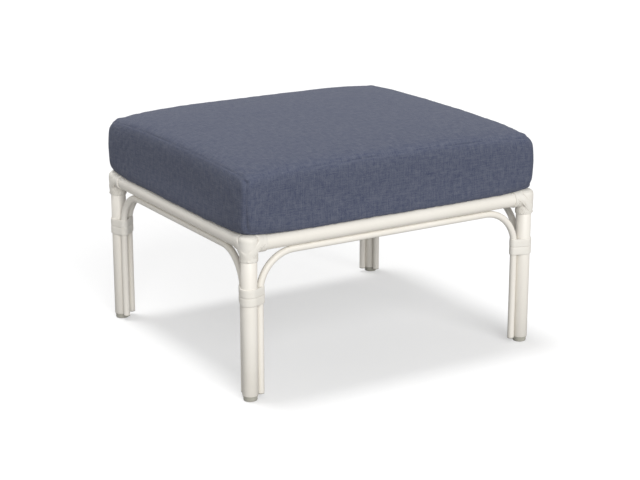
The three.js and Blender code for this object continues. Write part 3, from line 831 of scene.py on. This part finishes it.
def diagonal_outline(members, radius, reach):
    """The outline drawn tight round the members where a plane square to INWARD cuts them."""
    shift = (reach - math.sqrt(2) * radius) / math.sqrt(3)
    touching = []
    for away, side, up in members:
        for out in spokes(side, up, LOOP_POINTS):
            along = (shift - (out * radius).dot(INWARD)) / away.dot(INWARD)
            if along >= -radius:
                touching.append((out * radius + away * along, out))
    u = INWARD.orthogonal().normalized()
    return drawn_tight(touching, u, INWARD.cross(u))


def blob(centre, size, steps=14):
    """A small rounded lump, such as a strap's tucked end."""
    angles = [math.pi * i / steps for i in range(1, steps)]
    profile = [(math.sin(angle), -math.cos(angle)) for angle in angles]
    points, faces = solid_lathe(profile, ORIGIN, 2 * steps)
    return [centre + Vector(p) * Vector(size) for p in points], faces


def corner_shells(seed):
    """The collars, slanting turns, pad, knobs and tucked end of a corner, before they are fused."""
    members = member_axes()
    for number, reach in enumerate(COLLAR_REACHES):
        for which, member in enumerate(members):
            outline = collar_outline(member, POST_RADIUS, reach)
            yield strap_band(outline, COLLAR_SIZE, seed + which + len(members) * number)
    for number, (reach, lift) in enumerate(zip(DIAGONAL_REACHES, DIAGONAL_LIFTS)):
        outline = diagonal_outline(members, POST_RADIUS + lift, reach)
        yield strap_band(outline, DIAGONAL_SIZE, seed + DIAGONAL_SEED + number,
                         under=DIAGONAL_FILLING, easing=DIAGONAL_EASING)
    dome = POST_RADIUS + DOME_THICKNESS
    profile = [(dome - inset, height) for inset, height in DOME_PROFILE]
    yield solid_lathe([*profile, (dome * DOME_TOP_SHARE, DOME_TOP)], ORIGIN, TUBE_SEGMENTS)
    for away, _, _ in members[:2]:
        yield blob(away * KNOB_REACH + UP * (POST_RADIUS + STRAP_THICKNESS), KNOB_SIZE)
    seat = STRAP_END_WAY * (POST_RADIUS + STRAP_THICKNESS * TUCK_SHARE)
    yield blob(seat - UP * STRAP_END_DROP, STRAP_END_SIZE)


def corner_wrap_mesh(seed):
    """A corner binding: its shells fused, softened and creased as under paint."""
    base = linked("wrap_base", new_mesh("wrap_base", *merged(corner_shells(seed))))
    remesh = base.modifiers.new("fuse", "REMESH")
    remesh.mode = "VOXEL"
    remesh.voxel_size = STRAP_VOXEL
    soften(base, SMOOTHING)
    mesh = smoothed_outside(applied(base))
    crease(mesh, seed)
    return mesh


def smoothed_outside(mesh):
    """The mesh with the side that faces out of the corner smoothed more, as under thick paint."""
    outward = -(read_points(mesh) @ np.array((1, 1, 0))) / math.sqrt(2)
    piece = linked("outside", mesh)
    weigh(piece, "outside", np.clip(OUTER_GAIN * outward / POST_RADIUS, 0, 1))
    soften(piece, OUTER_SMOOTHING, "outside")
    return applied(piece)


def crease(mesh, seed):
    """Slanting grooves both ways where the turns cross, on the sides that face the arch poles."""
    points = read_points(mesh)
    elbows = np.array([(1, 0, -1), (0, 1, -1)]) / math.sqrt(2)
    facing = (points @ elbows.T).max(axis=1) / np.linalg.norm(points, axis=1)
    facing = np.clip((facing - CREASE_FACING) * CREASE_FADE, 0, 1)
    wander = CREASE_WANDER * noise_at(points, CREASE_WANDER_SCALE, (seed, 0, 0))
    patchy = patches(noise_at(points, CREASE_PATCH_SCALE, (0, seed, 0)), *CREASE_PATCHES)
    depth = np.zeros(len(points))
    for way in ((1, 1, 1), (1, 1, -1)):
        phase = points @ np.array(way) / CREASE_PITCH + wander
        depth += np.clip(1 - CREASE_SHARPNESS * np.abs(np.sin(math.pi * phase)), 0, 1)
    push_in(mesh, depth * (facing * CREASE_DEPTH * patchy))


def add_corner_wraps():
    rail_height = centre_of("rail_front").z
    for number, corner in enumerate(CORNERS):
        mesh = corner_wrap_mesh(CORNER_SEED * number)
        mesh.transform(corner_place(number, rail_height))
        dress(f"corner_wrap_{corner}", mesh, STRAP, [f"corner_binding_{corner}"])


def add_leg_bands():
    """Two turns of strap round each leg's post and its two arch poles, with a tucked end."""
    arch_low, arch_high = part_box("arch_front")
    pole = (arch_high.y - arch_low.y) / 2
    offset = abs(arch_low.x + pole - centre_of("post_front_left").x)
    x, y, _ = (member[0] for member in member_axes())
    touching = []
    for centre, radius in ((ORIGIN, POST_RADIUS), (x * offset, pole), (y * offset, pole)):
        touching += [(centre + out * (radius + FIT), out) for out in spokes(x, y, LOOP_POINTS)]
    outline = drawn_tight(touching, x, y)
    tuck = Vector((offset + pole + BAND_THICKNESS * TUCK_SHARE, 0, BAND_CENTRE - TUCK_SIZE[2] / 3))
    for number, corner in enumerate(CORNERS):
        shells = []
        for turn_number, height in enumerate((-0.5, 0.5)):
            points, faces = strap_band(outline, (BAND_WIDTH, BAND_THICKNESS),
                                       BAND_SEED * number + turn_number, BAND_WANDER, BAND_STATIONS)
            rise = Vector((0, 0, BAND_CENTRE + height * BAND_TURN))
            shells.append(([p + rise for p in points], faces))
        shells.append(blob(tuck, TUCK_SIZE))
        points, faces = merged(shells)
        place = corner_place(number, 0)
        add_piece(f"leg_band_{corner}", ([place @ Vector(p) for p in points], faces), STRAP,
                  [f"mid_binding_{corner}"], BAND_SHARP)


# Cushion

def grid_lines(half, step):
    """Places from -half to half: close together near both ends, then about step apart."""
    near = [half - distance for distance in EDGE_LINES]
    inner = near[-1]
    count = max(2, round(2 * inner / step))
    middle = list(np.linspace(-inner, inner, count + 1))
    return [-n for n in near[:-1]] + middle + near[:-1][::-1]


def cuboid_shell(lines):
    """A cuboid's surface on the given grid lines."""
    last = [len(line) - 1 for line in lines]
    index = {}
    points = []
    faces = []

    def vertex(key):
        if key not in index:
            index[key] = len(points)
            points.append([lines[axis][key[axis]] for axis in range(3)])
        return index[key]

    for axis in range(3):
        one, two = (axis + 1) % 3, (axis + 2) % 3
        for end in (0, last[axis]):
            for i in range(last[one]):
                for j in range(last[two]):
                    quad = []
                    for a, b in ((i, j), (i + 1, j), (i + 1, j + 1), (i, j + 1)):
                        key = [0, 0, 0]
                        key[axis], key[one], key[two] = end, a, b
                        quad.append(vertex(tuple(key)))
                    faces.append(quad if end else quad[::-1])
    return np.array(points), faces


def cushion_grid():
    """The cushion as a cuboid about its own middle, with grid lines beside the zip."""
    half = np.array([
        CUSHION_HALF_X - CUSHION_SWELL,
        CUSHION_HALF_Y - CUSHION_SWELL,
        (CUSHION_FLAT_TOP - CUSHION_LOW) / 2,
    ])
    lines = [grid_lines(size, step) for size, step in zip(half, GRID_STEPS)]
    zip_height = centre_of("zip_tape").z - CUSHION_MIDDLE
    beside = [zip_height + way * step for way in (-1, 1) for step in ZIP_LINES]
    clear = [z for z in lines[2] if min(abs(z - b) for b in beside) > ZIP_LINE_GAP]
    lines[2] = sorted(clear + beside)
    flat, faces = cuboid_shell(lines)
    return flat, faces, half


def rounded(flat, half, radii):
    """The cuboid's points drawn onto rounded edges. Radii are per point, one for each axis."""
    inner = np.clip(flat, radii - half, half - radii)
    e = np.tan(np.clip((flat - inner) / radii, -1, 1) * math.pi / 4)
    e /= np.linalg.norm(e, axis=1, keepdims=True)
    return inner + e * radii


def cushion_form(flat, half):
    """The cushion before it is filled: rounded, with a crown, drawn-in sides and low corners."""
    radii = np.full(flat.shape, PLAN_RADIUS)
    radii[:, 2] = np.where(flat[:, 2] > 0, TOP_RADIUS, LOW_RADIUS)
    near_corner = np.prod((np.abs(flat[:, :2]) / half[:2]) ** CORNER_ROUNDING_POWER, axis=1)
    low_corner = near_corner * np.clip(-2 * flat[:, 2] / half[2], 0, 1)
    radii += low_corner[:, None] * np.array(CORNER_ROUNDING)
    form = rounded(flat, half, radii)
    x, y = form[:, 0] / half[0], form[:, 1] / half[1]
    up = (form[:, 2] + half[2]) / (2 * half[2])
    above_low = np.clip(up * LOW_FADE, 0, 1)
    corner = np.abs(x) ** CORNER_POWER * np.abs(y) ** CORNER_POWER
    draw_in = LOW_DRAW_IN + (DRAW_IN - LOW_DRAW_IN) * above_low
    form[:, 0] -= np.sign(x) * draw_in * (1 - y ** 2) * np.abs(x) ** DRAW_IN_POWER
    form[:, 1] -= np.sign(y) * draw_in * (1 - x ** 2) * np.abs(y) ** DRAW_IN_POWER
    crown = (1 - np.abs(x) ** CROWN_POWER) * (1 - np.abs(y) ** CROWN_POWER)
    form[:, 2] += np.clip(up, 0, 1) ** CROWN_RISE_POWER * CUSHION_CROWN * crown
    drop = np.array(CORNER_DROPS)[(x > 0).astype(int), (y > 0).astype(int)]
    form[:, 2] -= up ** 2 * drop * corner
    form[:, 2] += (1 - np.clip(up * LIFT_FADE, 0, 1)) * CORNER_LIFT * corner
    form[:, 2] += CUSHION_MIDDLE
    form[:, 2] -= (1 - above_low) * rail_sag(form) * (1 - corner)
    return form


def rail_sag(form):
    """How far the underside hangs down outside the rails, which it follows with a little air."""
    low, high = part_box("rail_front")
    radius = (high.z - low.z) / 2
    axis_x, axis_y = -centre_of("rail_left").x, -(low.y + high.y) / 2
    beyond = np.maximum(np.abs(form[:, 0]) - axis_x, np.abs(form[:, 1]) - axis_y)
    beyond = np.clip(beyond, 0, radius * RAIL_REACH)
    drop = radius - np.sqrt(radius ** 2 - beyond ** 2)
    return np.maximum(drop - RAIL_CLEARANCE, 0)


def seam_distances(flat, half):
    """How far each point is, over the panels, from the top, bottom and upright seams."""
    gap = half - np.abs(flat)
    rim = np.minimum(gap[:, 0], gap[:, 1])
    top = rim + half[2] - flat[:, 2]
    low = rim + half[2] + flat[:, 2]
    upright = gap[:, 0] + gap[:, 1]
    return top, low, upright


def filled(form, faces, hold, gather):
    """The form after a cloth simulation: pressure fills it, and its seams are gathered."""
    piece = linked("cushion_fill", new_mesh("cushion_fill", form, faces))
    weigh(piece, "hold", hold)
    weigh(piece, "shrink", gather)
    cloth = piece.modifiers.new("fill", "CLOTH")
    for name, value in CLOTH_SETTINGS.items():
        setattr(cloth.settings, name, value)
    cloth.settings.effector_weights.gravity = 0.0
    cloth.collision_settings.use_collision = False
    cloth.point_cache.frame_start = 1
    cloth.point_cache.frame_end = FILL_FRAMES
    for number in range(1, FILL_FRAMES + 1):
        bpy.context.scene.frame_set(number)
    points = read_points(applied(piece))
    bpy.context.scene.frame_set(1)
    return points


def lay_cloth(mesh, flat, faces, half):
    """Cloth coordinates in metres, by panel: threads run along the edges of each panel."""
    values = []
    for face in faces:
        corners = flat[list(face)]
        centre = corners.mean(axis=0)
        axis = int(np.argmax(np.abs(centre) / (half - TINY)))
        one, two = [(1, 2), (0, 2), (0, 1)][axis]
        shift = (axis + (3 if centre[axis] > 0 else 0)) * PANEL_SHIFT
        for corner in corners:
            values += [corner[one] + shift, corner[two]]
    mesh.uv_layers.new(name="cloth").data.foreach_set("uv", values)


def sew(mesh):
    """Draws the seams in, gathers the cloth beside them, pinches the top corners and sinks the
    cloth under the zip, with a lip on both sides."""
    points = read_points(mesh)
    top, low, upright, height = (read_attribute(mesh, name)
                                 for name in ("top", "low", "upright", "height"))
    near = np.minimum(top, low)
    faint = patches(noise_at(points, SEAM_SCALE), *SEAM_PATCHES)
    depth = SEAM_DEPTH * faint * fading(near, SEAM_WIDTH)
    puckers = sum(weight * noise_at(points, scale) for scale, weight in PUCKER_SCALES)
    depth += PUCKER_DEPTH * puckers * fading(near, PUCKER_REACH)
    side = np.clip((SIDE_PANEL_END - np.abs(height)) * SIDE_PANEL_FADE, 0, 1)
    depth += UPRIGHT_SEAM_DEPTH * side * fading(upright, UPRIGHT_SEAM_WIDTH)
    pinch = np.hypot(upright, np.maximum(top - DIMPLE_DROP, 0) * DIMPLE_STRETCH)
    depth += DIMPLE_DEPTH * fading(pinch, DIMPLE_RADIUS) * (height > 0) * side
    depth += BROAD_DEPTH * noise_at(points, BROAD_SCALE) * (height > UNDERSIDE_END)
    zip_low, zip_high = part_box("zip_tape")
    beside = np.abs(points[:, 2] - (zip_low.z + zip_high.z) / 2)
    inside = np.clip((zip_high.x + ZIP_END_REACH - np.abs(points[:, 0])) / ZIP_END_FADE, 0, 1)
    inside = inside * (read_points(mesh, "normal")[:, 1] > BACK_FACING)
    depth += inside * ZIP_RECESS * fading(beside, ZIP_RECESS_HALF, ZIP_RECESS_POWER)
    depth -= inside * ZIP_LIP * fading(beside - ZIP_LIP_PLACE, ZIP_LIP_WIDTH)
    push_in(mesh, depth)


def add_cushion():
    flat, faces, half = cushion_grid()
    form = cushion_form(flat, half)
    top, low, upright = seam_distances(flat, half)
    hold = np.where(flat[:, 2] <= -half[2] + TINY, 1.0, CLOTH_HOLD)
    step = filled(form, faces, hold, fading(np.minimum(top, low), GATHER_REACH)) - form
    reach = np.linalg.norm(step, axis=1, keepdims=True)
    form = form + step * np.minimum(1, CLOTH_CAP / np.maximum(reach, TINY))
    mesh = new_mesh("cushion_base", form, faces)
    lay_cloth(mesh, flat, faces, half)
    fields = {"top": top, "low": low, "upright": upright, "height": flat[:, 2] / half[2]}
    for name, values in fields.items():
        mesh.attributes.new(name, "FLOAT", "POINT").data.foreach_set("value", values)
    base = linked("cushion_base", mesh)
    base.modifiers.new("smooth", "SUBSURF").levels = 1
    fine = applied(base)
    sew(fine)
    piece = dress("seat_cushion", fine, CLOTH, ["cushion_cover", "foam_core"])
    return piece


# Zip, laid on the back panel of the finished cushion

def back_surface(cushion):
    """A way to ask where the back panel's cloth lies at a given X and Z."""
    graph = bpy.context.evaluated_depsgraph_get()
    graph.update()
    tree = BVHTree.FromObject(cushion, graph)

    def surface(x, z):
        return tree.ray_cast(Vector((x, 1, z)), Vector((0, -1, 0)))[0].y

    return surface


def add_zip_tape(surface):
    """Both tapes as one strip, with a channel down its middle for the coil."""
    low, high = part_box("zip_tape")
    half = (high.z - low.z) / 2
    middle = (low.z + high.z) / 2
    section = [(half * share, lift) for share, lift in TAPE_SECTION]
    points = []
    for x in np.linspace(low.x, high.x, TAPE_STATIONS):
        for w, lift in section:
            points.append((x, surface(x, middle + w) + lift * TAPE_LIFT, middle + w))
        for w, _ in section[::-1]:
            points.append((x, surface(x, middle + w) - TAPE_SINK, middle + w))
    add_piece("zip_tapes", capped(points, 2 * len(section)), TAPE, ["zip_tape"], TAPE_SHARP)


def add_zip_coil(surface):
    """The closed coil: a row of small arched teeth."""
    low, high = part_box("zip_tape")
    middle = (low.z + high.z) / 2
    shells = []
    for i in range(int((high.x - low.x) / COIL_PITCH)):
        x = low.x + (i + 0.5) * COIL_PITCH
        seat = surface(x, middle) + TAPE_LIFT * COIL_SEAT
        points = []
        for share in COIL_SHARES:
            rise = seat + COIL_RADIUS * (COIL_ARCH - share ** 2)
            for angle in circle(COIL_SEGMENTS):
                points.append((x + COIL_RADIUS * math.cos(angle),
                               rise + COIL_RADIUS * math.sin(angle),
                               middle + share * COIL_HALF))
        shells.append(capped(points, COIL_SEGMENTS))
    add_piece("zip_teeth", merged(shells), COIL)


def rounded_outline(half_x, half_z, radius):
    """Points round a rounded rectangle in X and Z, evenly spread by angle at its corners."""
    outline = []
    for i in range(OUTLINE_POINTS):
        angle = 2 * math.pi * (i + 0.5) / OUTLINE_POINTS
        c, d = math.cos(angle), math.sin(angle)
        outline.append((math.copysign(half_x - radius, c) + radius * c,
                        math.copysign(half_z - radius, d) + radius * d))
    return outline


def stacked(levels, centre):
    """The points of outlines in X and Z, each at its own distance from the cushion."""
    return [centre + Vector((x, lift, z)) for outline, lift in levels for x, z in outline]


def holed_plate(outer, inner, centre):
    """A plate in X and Z with one hole and softened edges."""
    def grown(outline, step):
        size = max(abs(x) for x, _ in outline)
        return [(x * (1 + step / size), z * (1 + step / size)) for x, z in outline]

    half = PULL_THICKNESS / 2
    small, wide = grown(outer, -PULL_EDGE), grown(inner, PULL_EDGE)
    levels = [
        (small, half), (outer, half - PULL_EDGE), (outer, PULL_EDGE - half), (small, -half),
        (wide, -half), (inner, PULL_EDGE - half), (inner, half - PULL_EDGE), (wide, half),
    ]
    return stacked(levels, centre), ring_faces(len(levels), OUTLINE_POINTS, close_rings=True)


def slider_bridge(seat, reach):
    """The small loop on the slider's body that carries the pull."""
    stations = []
    for i in range(BRIDGE_STEPS + 1):
        angle = math.pi * i / BRIDGE_STEPS
        rise = BRIDGE_LIFT + BRIDGE_RISE * math.sin(angle)
        centre = seat + Vector((-math.cos(angle) * reach, rise, 0))
        way = Vector((math.sin(angle) * reach, BRIDGE_RISE * math.cos(angle), 0)).normalized()
        stations.append((centre, way))
    return tube(stations, UP, BRIDGE_RADII, BRIDGE_SEGMENTS)


def add_zip_slider(surface):
    """A slider body with a bridge, and a pull that hangs from it."""
    low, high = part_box("zip_slider")
    middle = centre_of("zip_tape").z
    x = (low.x + high.x) / 2
    half_x, half_z = (high.x - low.x) / 2, high.z - middle
    seat = Vector((x, surface(x, middle) + TAPE_LIFT, middle))
    levels = [(rounded_outline(half_x - inset, half_z - inset, half_z * SLIDER_ROUNDING - inset), lift)
              for inset, lift in SLIDER_LEVELS]
    pull_half_z = (middle - low.z) / 2 - PULL_GAP
    outer = rounded_outline(PULL_HALF_X, pull_half_z, PULL_HALF_X * PULL_ROUNDING)
    inner = rounded_outline(PULL_HALF_X * PULL_HOLE[0], pull_half_z * PULL_HOLE[1],
                            PULL_HALF_X * PULL_HOLE_ROUNDING)
    hang = Vector((x, 0, low.z + pull_half_z))
    hang.y = max(surface(x, hang.z + way * pull_half_z) for way in PULL_TOUCH) + PULL_CLEARANCE
    shells = [
        capped(stacked(levels, seat), OUTLINE_POINTS),
        slider_bridge(seat, half_x * BRIDGE_REACH),
        holed_plate(outer, inner, hang),
    ]
    add_piece("zip_pull", merged(shells), ZINC, ["zip_slider"], TURNED_SHARP)


# Floor, light and camera

def grey(share):
    return (share, share, share, 1)


def add_floor():
    """A plain floor that shows white to the camera and keeps the stool's shadow."""
    n = new_material("floor_paint")
    n.tree.nodes.remove(n.shader)
    bounce = n.add("BsdfDiffuse", {"Color": grey(FLOOR_BOUNCE)})
    shown = n.add("BsdfDiffuse", {"Color": grey(FLOOR_SHARE)})
    glow = n.add("Emission", {"Color": grey(1), "Strength": FLOOR_GLOW})
    both = n.add("AddShader", {0: shown.outputs[0], 1: glow.outputs[0]})
    seen = n.add("LightPath").outputs["Is Camera Ray"]
    mix = n.add("MixShader", {0: seen, 1: bounce.outputs[0], 2: both.outputs[0]})
    n.feed(n.tree.nodes["Material Output"].inputs["Surface"], mix.outputs[0])
    corners = [(x * FLOOR_HALF, y * FLOOR_HALF, 0) for x, y in ((-1, -1), (1, -1), (1, 1), (-1, 1))]
    floor = linked("floor", new_mesh("floor", corners, [(0, 1, 2, 3)]))
    floor.data.materials.append(n.owner)


def add_sky():
    """An even sky, white where it is seen, also in gloss and through glass, and softer as light."""
    world = bpy.data.worlds.new("sky")
    bpy.context.scene.world = world
    n = Nodes(world, "Background")
    rays = n.add("LightPath").outputs
    seen = n.math("MAXIMUM", rays["Is Camera Ray"], rays["Is Transmission Ray"])
    seen = n.math("MAXIMUM", seen, rays["Is Glossy Ray"])
    n.shade({"Color": grey(1), "Strength": n.between(seen, SKY_SHARE, 1.0)})


def aim(piece, way):
    piece.rotation_mode = "QUATERNION"
    piece.rotation_quaternion = way.to_track_quat("-Z", "Y")


def add_lamps():
    """Broad, distant lamps, each of which gives a level floor its share of full light."""
    for name, (direction, share, angle) in LAMPS.items():
        way = Vector(direction).normalized()
        lamp = linked(name, bpy.data.lights.new(name, "SUN"))
        lamp.data.energy = share * math.pi / -way.z
        lamp.data.angle = angle
        lamp.location = -way * LAMP_DISTANCE
        aim(lamp, way)


def add_camera():
    camera = linked("camera", bpy.data.cameras.new("camera"))
    camera.data.sensor_fit = "HORIZONTAL"
    camera.data.sensor_width = SENSOR_WIDTH
    camera.data.lens = FOCAL_PIXELS * SENSOR_WIDTH / IMAGE_WIDTH
    camera.location = CAMERA_PLACE
    flat = math.cos(CAMERA_PITCH)
    aim(camera, Vector((math.sin(CAMERA_YAW) * flat, math.cos(CAMERA_YAW) * flat,
                        -math.sin(CAMERA_PITCH))))
    bpy.context.scene.camera = camera


def paint_cad_nodes():
    """Gives the CAD's own bars and caps, which stay in sight, the frame's paint."""
    for node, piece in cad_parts.items():
        if node.startswith(("deck_bar", "post_cap")):
            piece.data.materials.clear()
            piece.data.materials.append(PAINT[0])


add_camera()
add_sky()
add_lamps()
add_floor()
paint_cad_nodes()
add_posts()
add_glides()
add_plugs()
add_rails()
add_arches()
add_corner_wraps()
add_leg_bands()
back = back_surface(add_cushion())
add_zip_tape(back)
add_zip_coil(back)
add_zip_slider(back)

bpy.context.scene.view_settings.view_transform = "Standard"
